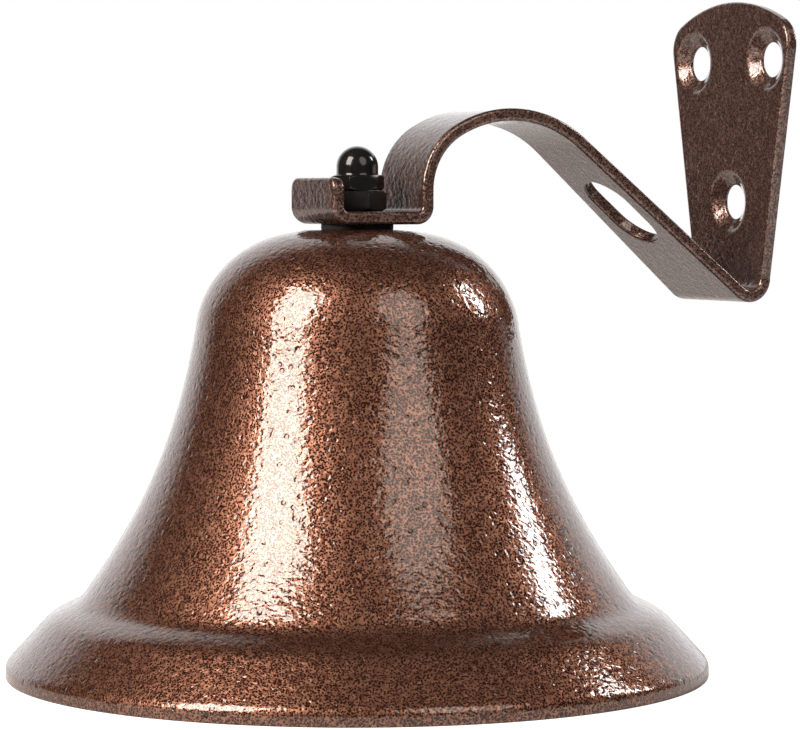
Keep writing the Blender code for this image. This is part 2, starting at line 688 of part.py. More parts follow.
def main():
    remove_everything()
    coat = finish("copper_vein_coat", (0.20, 0.085, 0.05), 0.6, 0.35)
    black = finish("black_enamel", (0.012, 0.012, 0.014), 0.1, 0.2)
    zinc = finish("zinc_plate", (0.62, 0.63, 0.65), 1.0, 0.35)
    rubber = finish("black_rubber", (0.02, 0.02, 0.02), 0.0, 0.85)
    iron = finish("black_iron", (0.05, 0.048, 0.046), 0.4, 0.6)

    make_bracket(coat)
    bell_axis = pivot("bell_axis", (BOLT_X, 0, SEAT_Z))
    make_bell(coat, bell_axis)
    make_eye_bolt(zinc, bell_axis)
    make_washer("crown_washer", CROWN_WASHER_D, CROWN_WASHER_T, -GAP, rubber, bell_axis)
    make_washer("cushion_washer", CUSHION_D, CUSHION_T, CUSHION_TOP, rubber, bell_axis)
    make_washer("inner_washer", INNER_WASHER_D, INNER_WASHER_T, INNER_WASHER_TOP,
                zinc, bell_axis)
    hex_nut("inner_nut", INNER_NUT_AF, INNER_NUT_H, INNER_NUT_TURN, zinc, bell_axis,
            INNER_NUT_TOP - INNER_NUT_H)
    hex_nut("clamp_nut", CLAMP_NUT_AF, CLAMP_NUT_H, CLAMP_NUT_TURN, black, bell_axis,
            CLAMP_NUT_Z)
    make_acorn_nut(black, bell_axis)

    link_pivot = pivot("link_pivot", (0, 0, LINK_PIVOT_Z), bell_axis)
    make_link(zinc, link_pivot)
    clapper_pivot = pivot("clapper_pivot", (0, 0, -LINK_PITCH), link_pivot)
    make_clapper_rod(zinc, clapper_pivot)
    make_clapper_ball(iron, clapper_pivot)
    make_cord_eye(zinc, clapper_pivot)


main()
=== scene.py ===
"""Looks of the yard dinner bell: fine meshes, coat, floor, lights and camera.

Sizes are in millimetres and degrees, as a maker would write them, and become
metres when a mesh is made. X runs from the bell to the wall and Z up.
"""
import math

import bpy
import bmesh
from mathutils import Matrix, Vector
from mathutils.geometry import delaunay_2d_cdt


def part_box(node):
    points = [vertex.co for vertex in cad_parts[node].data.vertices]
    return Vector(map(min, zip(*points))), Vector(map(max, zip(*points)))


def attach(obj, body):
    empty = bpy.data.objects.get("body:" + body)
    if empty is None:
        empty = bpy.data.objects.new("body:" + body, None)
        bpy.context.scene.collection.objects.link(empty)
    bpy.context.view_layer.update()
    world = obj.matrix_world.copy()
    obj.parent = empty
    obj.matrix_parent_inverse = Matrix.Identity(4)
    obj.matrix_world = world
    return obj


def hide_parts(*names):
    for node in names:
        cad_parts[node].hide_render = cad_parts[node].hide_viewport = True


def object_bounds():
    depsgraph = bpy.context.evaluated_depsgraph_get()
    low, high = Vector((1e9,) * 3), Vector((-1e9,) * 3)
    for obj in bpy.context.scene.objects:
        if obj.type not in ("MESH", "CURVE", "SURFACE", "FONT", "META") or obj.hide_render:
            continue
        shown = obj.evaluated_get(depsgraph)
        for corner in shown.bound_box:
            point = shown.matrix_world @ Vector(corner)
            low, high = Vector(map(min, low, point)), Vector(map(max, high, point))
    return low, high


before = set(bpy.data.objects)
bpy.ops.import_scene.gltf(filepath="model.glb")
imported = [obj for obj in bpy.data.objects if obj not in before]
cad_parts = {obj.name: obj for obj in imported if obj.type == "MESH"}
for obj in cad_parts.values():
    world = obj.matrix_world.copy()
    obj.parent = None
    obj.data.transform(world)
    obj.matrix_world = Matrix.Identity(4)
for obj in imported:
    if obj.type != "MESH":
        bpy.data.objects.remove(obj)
cad_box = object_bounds()

MM = 0.001


def span(node):
    """Lowest and highest corner of a CAD node, in millimetres."""
    low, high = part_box(node)
    return low / MM, high / MM


bell_low, bell_high = span("bell_body")
strap_high = span("wall_bracket")[1]
clamp_low, clamp_high = span("clamp_nut")
acorn_low, acorn_high = span("acorn_nut")
cushion_low, cushion_high = span("cushion_washer")
inner_washer_low, inner_washer_high = span("inner_washer")
inner_nut_low, inner_nut_high = span("inner_nut")
crown_washer_low, crown_washer_high = span("crown_washer")
bolt_low, bolt_high = span("eye_bolt")
link_low, link_high = span("hanger_link")
rod_low, rod_high = span("clapper_rod")
ball_low, ball_high = span("clapper_ball")
cord_low, cord_high = span("cord_eye_nut")
AXIS_X = (bell_low.x + bell_high.x) / 2
TOUCH = 0.28              # how far a clamped piece reaches across the gap to the next
for underside in (acorn_low, clamp_low, crown_washer_low, cushion_low):
    underside.z -= TOUCH
for topside in (crown_washer_high, cushion_high, inner_nut_high, cord_high):
    topside.z += TOUCH


# ---- making meshes --------------------------------------------------------
def shown(name, mesh, finish, body, slot, *nodes):
    """Put a finished mesh, already in metres and in place, on its body."""
    made = bpy.data.objects.new(name, mesh)
    bpy.context.scene.collection.objects.link(made)
    mesh.materials.clear()
    mesh.materials.append(finish)
    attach(made, body)
    if nodes:
        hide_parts(*nodes)
    return made


def placed(mesh, at, turn=None):
    """Turn a mesh drawn in millimetres and move it to its place in metres."""
    move = Matrix.Translation(Vector(at) * MM) @ Matrix.Scale(MM, 4)
    mesh.transform(move @ turn if turn else move)
    mesh.update()
    return mesh


def mesh_of(name, bm, sharp_deg=40):
    """Finish a drawn body: faces outwards, smooth but for its sharp edges."""
    bmesh.ops.recalc_face_normals(bm, faces=bm.faces)
    mesh = bpy.data.meshes.new(name)
    bm.to_mesh(mesh)
    bm.free()
    mesh.shade_smooth()
    mesh.set_sharp_from_angle(angle=math.radians(sharp_deg))
    return mesh


def joined(name, meshes):
    """Several meshes as one."""
    bm = bmesh.new()
    for mesh in meshes:
        bm.from_mesh(mesh)
        bpy.data.meshes.remove(mesh)
    mesh = bpy.data.meshes.new(name)
    bm.to_mesh(mesh)
    bm.free()
    return mesh


def eased(corners, radii, steps=5):
    """Round the corners of an open outline; a radius of 0 keeps a corner."""
    points = [Vector(corners[0])]
    for before, corner, after, radius in zip(corners, corners[1:], corners[2:], radii[1:-1]):
        here = Vector(corner)
        if radius <= 0:
            points.append(here)
            continue
        to_a, to_b = Vector(before) - here, Vector(after) - here
        cut = min(radius / math.tan(to_a.angle(to_b) / 2),
                  to_a.length * 0.49, to_b.length * 0.49)
        start, end = here + to_a.normalized() * cut, here + to_b.normalized() * cut
        for step in range(steps + 1):
            t = step / steps
            points.append(start.lerp(here, t).lerp(here.lerp(end, t), t))
    points.append(Vector(corners[-1]))
    return points


# ---- geometry node trees --------------------------------------------------
WAVE_LEVEL = 0.62         # noise level at which a waved skin stays as drawn
THREAD_DEPTH = 0.56       # as shares of the pitch
THREAD_RIDGE = 0.5
THREAD_SIDES = 36
LOOP_SIDES = 96
WIRE_SIDES = 28


class Tree:
    """A small helper to write a geometry node tree from top to bottom."""

    def __init__(self, name, inputs):
        self.group = bpy.data.node_groups.new(name, "GeometryNodeTree")
        face = self.group.interface
        face.new_socket("Drawing", in_out="INPUT", socket_type="NodeSocketGeometry")
        for label, kind in inputs:
            face.new_socket(label, in_out="INPUT", socket_type="NodeSocket" + kind)
        face.new_socket("Piece", in_out="OUTPUT", socket_type="NodeSocketGeometry")
        self.inputs = self.add("NodeGroupInput").outputs

    def add(self, kind, links=(), **settings):
        node = self.group.nodes.new(kind)
        for key, value in settings.items():
            setattr(node, key, value)
        for socket, value in links:
            target = node.inputs[socket]
            if isinstance(value, bpy.types.NodeSocket):
                self.group.links.new(value, target)
            else:
                target.default_value = value
        return node

    def maths(self, operation, *values):
        node = self.add("ShaderNodeMath", list(enumerate(values)), operation=operation)
        return node.outputs[0]

    def end(self, piece, finish):
        whole = self.add("GeometryNodeRealizeInstances", [("Geometry", piece)])
        coated = self.add("GeometryNodeSetMaterial",
                          [("Geometry", whole.outputs[0]), ("Material", finish)])
        self.add("NodeGroupOutput", [(0, coated.outputs[0])])
        return self.group


def made_by(tree, drawing, values, finish):
    """Run a tree on a drawing and return its result as a plain mesh."""
    holder = bpy.data.objects.new("drawing", drawing)
    bpy.context.scene.collection.objects.link(holder)
    step = holder.modifiers.new("tree", "NODES")
    step.node_group = tree
    values = {**values, "Finish": finish}
    for socket in tree.interface.items_tree:
        if socket.in_out == "INPUT" and socket.name in values:
            step[socket.identifier] = values[socket.name]
    graph = bpy.context.evaluated_depsgraph_get()
    result = bpy.data.meshes.new_from_object(holder.evaluated_get(graph),
                                             preserve_all_data_layers=True, depsgraph=graph)
    holder.modifiers.remove(step)
    bpy.data.objects.remove(holder)
    return result


def spun_tree():
    """A closed outline of (radius, 0, height) points spun round the Z axis."""
    tree = Tree("spun_piece", [("Corners", "Int"), ("Sides", "Int"), ("Wave Height", "Float"),
                               ("Wave Size", "Float"), ("Finish", "Material")])
    drawing, corners, sides = (tree.inputs[n] for n in ("Drawing", "Corners", "Sides"))
    rows = tree.maths("ADD", corners, 1.0)
    grid = tree.add("GeometryNodeMeshGrid",
                    [("Vertices X", tree.maths("ADD", sides, 1.0)), ("Vertices Y", rows)])
    index = tree.add("GeometryNodeInputIndex").outputs[0]
    corner = tree.maths("MODULO", tree.maths("MODULO", index, rows), corners)
    side = tree.maths("FLOOR", tree.maths("DIVIDE", index, rows))
    spot = tree.add("GeometryNodeInputPosition").outputs[0]
    taken = tree.add("GeometryNodeSampleIndex",
                     [("Geometry", drawing), ("Value", spot), ("Index", corner)],
                     data_type="FLOAT_VECTOR", domain="POINT")
    parts = tree.add("ShaderNodeSeparateXYZ", [(0, taken.outputs[0])])
    turn = tree.maths("MULTIPLY", tree.maths("DIVIDE", side, sides), 2 * math.pi)
    x = tree.maths("MULTIPLY", parts.outputs[0], tree.maths("COSINE", turn))
    y = tree.maths("MULTIPLY", parts.outputs[0], tree.maths("SINE", turn))
    place = tree.add("ShaderNodeCombineXYZ", [(0, x), (1, y), (2, parts.outputs[2])])
    moved = tree.add("GeometryNodeSetPosition",
                     [("Geometry", grid.outputs["Mesh"]), ("Position", place.outputs[0])])
    closed = tree.add("GeometryNodeMergeByDistance",
                      [("Geometry", moved.outputs[0]), ("Distance", 1e-4)])
    noise = tree.add("ShaderNodeTexNoise", [("Vector", spot), ("Detail", 1.0),
                     ("Scale", tree.maths("DIVIDE", 1.0, tree.inputs["Wave Size"]))])
    swell = tree.maths("MULTIPLY", tree.maths("SUBTRACT", noise.outputs[0], WAVE_LEVEL),
                       tree.inputs["Wave Height"])
    normal = tree.add("GeometryNodeInputNormal").outputs[0]
    push = tree.add("ShaderNodeVectorMath", [(0, normal), ("Scale", swell)], operation="SCALE")
    waved = tree.add("GeometryNodeSetPosition",
                     [("Geometry", closed.outputs[0]), ("Offset", push.outputs[0])])
    return tree.end(waved.outputs[0], tree.inputs["Finish"])


def thread_tree():
    """A screw thread round the Z axis, rising from the origin."""
    tree = Tree("screw_thread", [("Length", "Float"), ("Radius", "Float"), ("Pitch", "Float"),
                                 ("Finish", "Material")])
    length, radius, pitch = (tree.inputs[n] for n in ("Length", "Radius", "Pitch"))
    depth = tree.maths("MULTIPLY", pitch, THREAD_DEPTH)
    ridge_r = tree.maths("MULTIPLY", pitch, THREAD_RIDGE)
    middle = tree.maths("SUBTRACT", radius, tree.maths("MULTIPLY", pitch, THREAD_RIDGE))
    path = tree.add("GeometryNodeCurveSpiral", [
        ("Resolution", THREAD_SIDES), ("Rotations", tree.maths("DIVIDE", length, pitch)),
        ("Start Radius", middle), ("End Radius", middle), ("Height", length)])
    ridge = tree.add("GeometryNodeCurvePrimitiveCircle", [("Resolution", 3), ("Radius", ridge_r)])
    turned = tree.add("GeometryNodeTransform", [
        ("Geometry", ridge.outputs[0]), ("Rotation", (0, 0, math.radians(90)))])
    wound = tree.add("GeometryNodeCurveToMesh", [
        ("Curve", path.outputs[0]), ("Profile Curve", turned.outputs[0]), ("Fill Caps", True)])
    core = tree.add("GeometryNodeMeshCylinder", [
        ("Vertices", THREAD_SIDES), ("Radius", tree.maths("SUBTRACT", radius, depth)),
        ("Depth", length)])
    raised = tree.add("GeometryNodeTransform", [
        ("Geometry", core.outputs[0]),
        ("Translation", tree.add("ShaderNodeCombineXYZ",
                                 [(2, tree.maths("MULTIPLY", length, 0.5))]).outputs[0])])
    both = tree.add("GeometryNodeJoinGeometry", [(0, wound.outputs[0])])
    tree.group.links.new(raised.outputs[0], both.inputs[0])
    return tree.end(both.outputs[0], tree.inputs["Finish"])


def wire_tree():
    """A closed loop of round wire in the XZ plane: a ring, or a long link."""
    tree = Tree("wire_loop", [("Loop Radius", "Float"), ("Straight", "Float"),
                              ("Wire Radius", "Float"), ("Finish", "Material")])
    ring = tree.add("GeometryNodeCurvePrimitiveCircle",
                    [("Resolution", LOOP_SIDES), ("Radius", tree.inputs["Loop Radius"])])
    upright = tree.add("GeometryNodeTransform", [
        ("Geometry", ring.outputs[0]), ("Rotation", (math.radians(90), 0, 0))])
    spot = tree.add("GeometryNodeInputPosition").outputs[0]
    height = tree.add("ShaderNodeSeparateXYZ", [(0, spot)]).outputs[2]
    half = tree.maths("MULTIPLY", tree.inputs["Straight"], 0.5)
    lift = tree.maths("MULTIPLY", tree.maths("SIGN", height), half)
    stretched = tree.add("GeometryNodeSetPosition", [
        ("Geometry", upright.outputs[0]),
        ("Offset", tree.add("ShaderNodeCombineXYZ", [(2, lift)]).outputs[0])])
    wire = tree.add("GeometryNodeCurvePrimitiveCircle",
                    [("Resolution", WIRE_SIDES), ("Radius", tree.inputs["Wire Radius"])])
    swept = tree.add("GeometryNodeCurveToMesh", [
        ("Curve", stretched.outputs[0]), ("Profile Curve", wire.outputs[0])])
    return tree.end(swept.outputs[0], tree.inputs["Finish"])


SPUN = spun_tree()
THREAD = thread_tree()
WIRE = wire_tree()


def spun(name, outline, finish, sides=96, wave_height=0.0, wave_size=20.0, sharp_deg=40):
    """Spin a closed outline of (radius, height) points; the mesh stays in millimetres."""
    drawing = bpy.data.meshes.new(name)
    drawing.from_pydata([(r, 0, z) for r, z in outline], [], [])
    values = {"Corners": len(outline), "Sides": sides, "Wave Height": wave_height,
              "Wave Size": wave_size}
    spun_mesh = made_by(SPUN, drawing, values, finish)
    bm = bmesh.new()
    bm.from_mesh(spun_mesh)
    bpy.data.meshes.remove(spun_mesh)
    bmesh.ops.dissolve_degenerate(bm, dist=1e-4, edges=bm.edges)
    stray = [edge for edge in bm.edges if not edge.link_faces]
    bmesh.ops.delete(bm, geom=stray, context="EDGES")
    return mesh_of(name, bm, sharp_deg)


def wire_loop(name, loop_radius, straight, wire_radius, finish):
    values = {"Loop Radius": loop_radius, "Straight": straight, "Wire Radius": wire_radius}
    bm = bmesh.new()
    bm.from_mesh(made_by(WIRE, bpy.data.meshes.new(name), values, finish))
    return mesh_of(name, bm, 80)


def screw_thread(name, length, radius, pitch, finish):
    values = {"Length": length, "Radius": radius, "Pitch": pitch}
    bm = bmesh.new()
    bm.from_mesh(made_by(THREAD, bpy.data.meshes.new(name), values, finish))
    return mesh_of(name, bm, 30)


# ---- finishes -------------------------------------------------------------
class Paint:
    """A small helper to write a material's nodes from top to bottom."""

    def __init__(self, name):
        self.made = bpy.data.materials.new(name)
        self.made.use_nodes = True
        self.nodes = self.made.node_tree.nodes
        self.links = self.made.node_tree.links
        self.shader = self.nodes["Principled BSDF"]
        self.place = self.add("ShaderNodeTexCoord").outputs["Object"]

    def add(self, kind, links=(), **settings):
        node = self.nodes.new(kind)
        for key, value in settings.items():
            setattr(node, key, value)
        for socket, value in links:
            self.put(node.inputs[socket], value)
        return node

    def put(self, target, value):
        if isinstance(value, bpy.types.NodeSocket):
            self.links.new(value, target)
        else:
            target.default_value = value

    def set(self, **values):
        for key, value in values.items():
            self.put(self.shader.inputs[key.replace("_", " ")], value)

    def noise(self, grain_mm, detail=2.0, roughness=0.5, distortion=0.0, place=None):
        node = self.add("ShaderNodeTexNoise", [
            ("Vector", place or self.place), ("Scale", 1000 / grain_mm), ("Detail", detail),
            ("Roughness", roughness), ("Distortion", distortion)])
        return node.outputs["Fac"]

    def cells(self, size_mm, place=None):
        """Distance from the middle of the nearest cell."""
        node = self.add("ShaderNodeTexVoronoi", [
            ("Vector", place or self.place), ("Scale", 1000 / size_mm)])
        return node.outputs["Distance"]

    def stretched(self, x, y, z):
        return self.add("ShaderNodeMapping", [
            ("Vector", self.place), ("Scale", (x, y, z))]).outputs[0]

    def between(self, value, low, high, out_low=0.0, out_high=1.0):
        node = self.add("ShaderNodeMapRange", [
            ("Value", value), ("From Min", low), ("From Max", high),
            ("To Min", out_low), ("To Max", out_high)])
        node.interpolation_type = "SMOOTHSTEP"
        return node.outputs[0]

    def maths(self, operation, *values):
        node = self.add("ShaderNodeMath", list(enumerate(values)), operation=operation)
        return node.outputs[0]

    def mix(self, share, a, b):
        node = self.add("ShaderNodeMix", data_type="RGBA")
        for socket, value in ((0, share), (6, a), (7, b)):
            self.put(node.inputs[socket], value)
        return node.outputs[2]

    def bump(self, height, depth_mm, strength=1.0, normal=None):
        links = [("Height", height), ("Distance", depth_mm * MM), ("Strength", strength)]
        if normal:
            links.append(("Normal", normal))
        return self.add("ShaderNodeBump", links).outputs[0]


def colour(red, green, blue):
    """A colour given as a painter reads it off a chart, 0 to 255."""
    def linear(c):
        c = c / 255
        return c / 12.92 if c <= 0.04045 else ((c + 0.055) / 1.055) ** 2.4
    return (linear(red), linear(green), linear(blue), 1.0)


WARP_MM = 1.0             # the veins wander over this length
WARP_REACH = 0.4          # and by this much
VEIN_STARTS = 0.34        # from a dark cell's middle out to the copper round it
VEIN_FULL = 0.70
DRIFT_MM = 5.0            # patches with a little more or less copper
DRIFT = 0.03
TONE_MM = 2.0
PIT_SPACING = 3.3
PIT_FLOOR = 0.10          # of the spacing
PIT_EDGE = 0.25
# painted shade: how much darker the coat's colour is made inside the dents
PIT_PAINTED_SHADE = 0.7
FLAKE_DEEP = 0.02


def copper_vein_coat(name, grain_mm, dark, veins, lump_mm, lump_deep, pit_deep):
    """Hammered powder coat: a copper network round dark cells, under a clear, lumpy gloss."""
    coat = Paint(name)
    warp = coat.add("ShaderNodeTexNoise", [("Vector", coat.place), ("Scale", 1000 / WARP_MM),
                                           ("Detail", 1.0)]).outputs["Color"]
    pulled = coat.add("ShaderNodeVectorMath", [(0, warp), (1, (0.5, 0.5, 0.5))],
                      operation="SUBTRACT").outputs[0]
    pulled = coat.add("ShaderNodeVectorMath", [(0, pulled), ("Scale", WARP_REACH * MM)],
                      operation="SCALE").outputs[0]
    grain_place = coat.add("ShaderNodeVectorMath", [(0, coat.place), (1, pulled)],
                           operation="ADD").outputs[0]
    cell = coat.cells(grain_mm, grain_place)
    drift = coat.between(coat.noise(DRIFT_MM, detail=3.0), 0.3, 0.7, -DRIFT, DRIFT)
    copper = coat.between(coat.maths("ADD", cell, drift), VEIN_STARTS, VEIN_FULL)
    tone = coat.between(coat.noise(TONE_MM, detail=1.0), 0.35, 0.65)
    base = coat.mix(copper, dark, coat.mix(tone, *veins))
    pits = coat.cells(PIT_SPACING, coat.stretched(1.0, 1.0, 0.9))
    pit = coat.between(pits, PIT_FLOOR, PIT_EDGE, 1.0, 0.0)
    # painted shade: the coat's colour is darkened inside the dents, which are also real hollows in
    # the bump below
    base = coat.mix(coat.maths("MULTIPLY", pit, PIT_PAINTED_SHADE), base, dark)
    lumps = coat.noise(lump_mm, detail=1.0, roughness=0.4, distortion=0.4,
                       place=coat.stretched(1.0, 1.0, 1.3))
    skin = coat.bump(lumps, lump_deep)
    skin = coat.bump(coat.maths("MULTIPLY", pit, -1.0), pit_deep, normal=skin)
    flakes = coat.bump(copper, FLAKE_DEEP, normal=skin)
    coat.set(Base_Color=base, Metallic=coat.between(copper, 0, 1, 0.5, 0.9),
             Roughness=coat.between(copper, 0, 1, 0.47, 0.395), Normal=flakes,
             Specular_IOR_Level=0.0, Specular_Tint=(0.25, 0.20, 0.18, 1.0),
             Coat_Weight=1.0, Coat_Roughness=0.08, Coat_IOR=1.5, Coat_Normal=skin)
    return coat.made


def black_enamel(name, roughness, grain, shine):
    """Black enamel with a little orange peel, for the gloss and the satin finish."""
    black = Paint(name)
    cloud = black.noise(1.6, detail=3.0)
    peel = black.noise(grain, detail=1.0)
    black.set(Base_Color=black.mix(cloud, colour(14, 14, 15), colour(26, 25, 25)),
              Roughness=black.between(cloud, 0.3, 0.7, roughness, roughness * 1.35),
              Normal=black.bump(peel, 0.012), Specular_IOR_Level=shine)
    return black


def gloss_black():
    black = black_enamel("gloss_enamel", 0.13, 1.8, 0.3)
    black.set(Coat_Weight=0.2, Coat_Roughness=0.04)
    return black.made


def satin_black():
    return black_enamel("satin_enamel", 0.34, 0.7, 0.25).made


def black_rubber():
    rubber = Paint("rubber_finish")
    grain = rubber.noise(0.5, detail=3.0)
    rubber.set(Base_Color=rubber.mix(grain, colour(14, 13, 13), colour(32, 31, 30)),
               Roughness=rubber.between(grain, 0.3, 0.7, 0.7, 0.9),
               Normal=rubber.bump(grain, 0.03))
    return rubber.made


def zinc_plate():
    zinc = Paint("bright_zinc")
    spangle = zinc.noise(3.0, detail=3.0)
    brushed = zinc.noise(0.6, detail=2.0, place=zinc.stretched(1.0, 1.0, 0.15))
    zinc.set(Base_Color=zinc.mix(spangle, colour(150, 152, 155), colour(205, 205, 200)),
             Metallic=1.0, Roughness=zinc.between(brushed, 0.3, 0.7, 0.26, 0.42),
             Normal=zinc.bump(brushed, 0.012))
    return zinc.made


def black_iron():
    iron = Paint("cast_iron_skin")
    sand = iron.noise(0.9, detail=4.0, roughness=0.6)
    worn = iron.between(iron.noise(11.0, detail=3.0), 0.55, 0.75)
    base = iron.mix(sand, colour(30, 29, 28), colour(58, 55, 52))
    iron.set(Base_Color=iron.mix(iron.maths("MULTIPLY", worn, 0.5), base, colour(92, 84, 76)),
             Metallic=0.35, Roughness=iron.between(sand, 0.3, 0.7, 0.48, 0.68),
             Normal=iron.bump(sand, 0.08))
    return iron.made


COAT = copper_vein_coat("bell_copper_vein", 0.56, colour(34, 17, 13),
                        (colour(144, 102, 82), colour(122, 81, 65)), 1.75, 0.14, 0.07)
# painted light: the bell's coat again, given paler, greyer colours with less contrast to stand in
# for the dull sheen and weaker light on the strap
STRAP_COAT_PAINTED_LIGHT = copper_vein_coat("strap_copper_vein_painted_light", 0.60, colour(50, 34, 29),
                              (colour(128, 100, 90), colour(108, 84, 77)), 1.85, 0.15, 0.03)
GLOSS = gloss_black()
SATIN = satin_black()
RUBBER = black_rubber()
ZINC = zinc_plate()
IRON = black_iron()


# ---- the bell -------------------------------------------------------------
BELL_H = bell_high.z - bell_low.z
MOUTH_R = (bell_high.x - bell_low.x) / 2
SHELL_T = 2.5
CROWN_R = 12.0
HOLE_R = 4.4
RIM_T = 2.9
RIM_TOP_UP = 3.75         # top corner of the rim's band, before it is rounded
RIM_INSIDE_UP = 2.9
RIM_EASE = 0.55
RIM_SHOULDER = 3.6
RIM_INSIDE_EASE = 0.8
SEAT_CLEAR = 0.4          # the inside curve stops this far outside the flat seat
BELL_SIDES = 224
CROWN_DEG = 2.8
# each stretch of the wall: where it ends, its slope there in degrees below
# level, how hard each end pulls on the curve, and its number of steps
SHOULDER = ((42.3, BELL_H - 23.7), 81.0, (0.60, 0.15), 34)
FLARE = ((MOUTH_R - 22.9, 25.0), 55.0, (0.33, 0.38), 30)
CREASE = ((MOUTH_R - 17.3, 18.9), 24.0, (0.35, 0.35), 12)
SKIRT = ((MOUTH_R - 8.9, 13.4), 46.6, (0.60, 0.35), 12)


def sweep_between(start, start_deg, end, end_deg, pulls, steps):
    """A cubic curve between two points; angles are degrees below level."""
    a, d = Vector(start), Vector(end)
    reach = (d - a).length
    out = Vector((math.cos(math.radians(start_deg)), -math.sin(math.radians(start_deg))))
    back = Vector((math.cos(math.radians(end_deg)), -math.sin(math.radians(end_deg))))
    b, c = a + out * pulls[0] * reach, d - back * pulls[1] * reach
    points = []
    for step in range(1, steps + 1):
        t = step / steps
        u = 1 - t
        points.append(u ** 3 * a + 3 * u * u * t * b + 3 * u * t * t * c + t ** 3 * d)
    return points


def bell_wall():
    """Outside of the wall from the crown's flat seat to the top of the rim's band."""
    here, slope = (CROWN_R, BELL_H), CROWN_DEG
    points = [Vector(here)]
    for end, end_slope, pulls, steps in (SHOULDER, FLARE, CREASE, SKIRT):
        points += sweep_between(here, slope, end, end_slope, pulls, steps)
        here, slope = end, end_slope
    return points


def inward(points, depth):
    """The outside line moved into the metal."""
    moved = []
    for k, here in enumerate(points):
        way = (points[min(k + 1, len(points) - 1)] - points[max(k - 1, 0)]).normalized()
        moved.append(here + Vector((way.y, -way.x)) * depth)
    return moved


def make_bell():
    wall = bell_wall()
    inside = [p for p in inward(wall, SHELL_T) if p.x > CROWN_R + SEAT_CLEAR][::-1]
    rim = [wall[-1], (MOUTH_R, RIM_TOP_UP), (MOUTH_R, 0), (MOUTH_R - RIM_T, 0),
           (MOUTH_R - RIM_T, RIM_INSIDE_UP), inside[0]]
    rim = eased(rim, [0, RIM_SHOULDER, RIM_EASE, RIM_EASE, RIM_INSIDE_EASE, 0], 6)
    outline = [(HOLE_R, BELL_H)] + [tuple(p) for p in wall[:-1] + rim + inside[1:]]
    outline += [(CROWN_R, BELL_H - SHELL_T), (HOLE_R, BELL_H - SHELL_T)]
    mesh = spun("bell_shell", outline, COAT, BELL_SIDES, sharp_deg=60)
    placed(mesh, (AXIS_X, 0, bell_low.z))
    shown("bell_shell", mesh, COAT, "mounted_bell", "copper_vein_coat", "bell_body")


# ---- the strap bracket ----------------------------------------------------
STRAP_T = 3.4
STRAP_W = 25.0
BEND_W = 33.6
SLOPE_DEG = 39.8
SLOPE_LEN = 62.5
ARCH_BELL_DEG = 60.8
RISER_LEN = 4.2
FOOT_LEN = 20.4
LIP_LEN = 7.5
LIP_ROUND = 3.0
CORNER_R = 1.3           # inside of the two foot corners
BEND_MID_R = 3.2 + STRAP_T / 2
ARCH_WALL_MID_R = 32.4 + STRAP_T / 2
ARCH_BELL_MID_R = 16.3 + STRAP_T / 2
CORNER_MID_R = CORNER_R + STRAP_T / 2
PLATE_TOP_R = 55.0
PLATE_CORNER_R = 8.0
PLATE_TOP_UP = 16.5
PLATE_HALF_W = 28.0
HOLE_RISE = 39.0
HOLE_SPACING = 35.0
SCREW_HOLE_R = 4.75
LOWER_HOLE_UP = 20.9
PLATE_LEN = PLATE_TOP_UP + HOLE_RISE + LOWER_HOLE_UP
SLOT_LEN = 25.4
SLOT_W = 16.6
SLOT_FROM_ARCH = 26.5
BOLT_FROM_RISER = 13.0
EDGE_EASE = 1.0          # rounding of the coated edges
SLOT_EASE = 0.7
HOLE_EASE = 0.3
RIB_CLEAR = 2.0          # no rib this close to the slot
BOLT_CLEAR = 6.0         # nor this close to the bolt
LIP_CLEAR = 0.5          # nor this close to the lip's rounded corners
TIGHT_STEP_DEG = 3.0     # bends of a right angle or more are cut this fine
WIDE_STEP_DEG = 2.5
STRAIGHT_STEP = 4.0
PLATE_TOP_STEPS = 13
PLATE_CORNER_STEPS = 14
LIP_STEPS = 8
SLOT_END_STEPS = 24

# the centre line from the plate's top edge down and out to the lip:
# (length, 0) is straight, (length, turn) bends to the left by turn degrees
RUNS = [
    (PLATE_LEN, 0),
    (math.radians(90 + SLOPE_DEG) * BEND_MID_R, -(90 + SLOPE_DEG)),
    (SLOPE_LEN, 0),
    (math.radians(90 + SLOPE_DEG - ARCH_BELL_DEG) * ARCH_WALL_MID_R,
     90 + SLOPE_DEG - ARCH_BELL_DEG),
    (math.radians(ARCH_BELL_DEG) * ARCH_BELL_MID_R, ARCH_BELL_DEG),
    (RISER_LEN, 0),
    (math.radians(90) * CORNER_MID_R, -90),
    (FOOT_LEN, 0),
    (math.radians(90) * CORNER_MID_R, -90),
    (LIP_LEN, 0),
]


def walked_runs():
    """Each run with its start length, start point and heading."""
    done, point, heading = 0.0, Vector((-STRAP_T / 2, strap_high.z)), -90.0
    walked = []
    for length, turn in RUNS:
        walked.append((done, length, turn, point, heading))
        way = Vector((math.cos(math.radians(heading)), math.sin(math.radians(heading))))
        if turn:
            radius = length / math.radians(abs(turn))
            left = Vector((-way.y, way.x)) * math.copysign(1, turn)
            centre = point + left * radius
            point = centre + Matrix.Rotation(math.radians(turn), 2) @ (point - centre)
            heading += turn
        else:
            point = point + way * length
        done += length
    return walked


WALKED = walked_runs()
STRAP_LEN = WALKED[-1][0] + WALKED[-1][1]
BEND_START = WALKED[1][0]
SLOPE_START = WALKED[2][0]
ARCH_START = WALKED[3][0]
FOOT_START = WALKED[7][0]
BOLT_ALONG = FOOT_START + BOLT_FROM_RISER - CORNER_R
SLOT_ALONG = ARCH_START - SLOT_FROM_ARCH


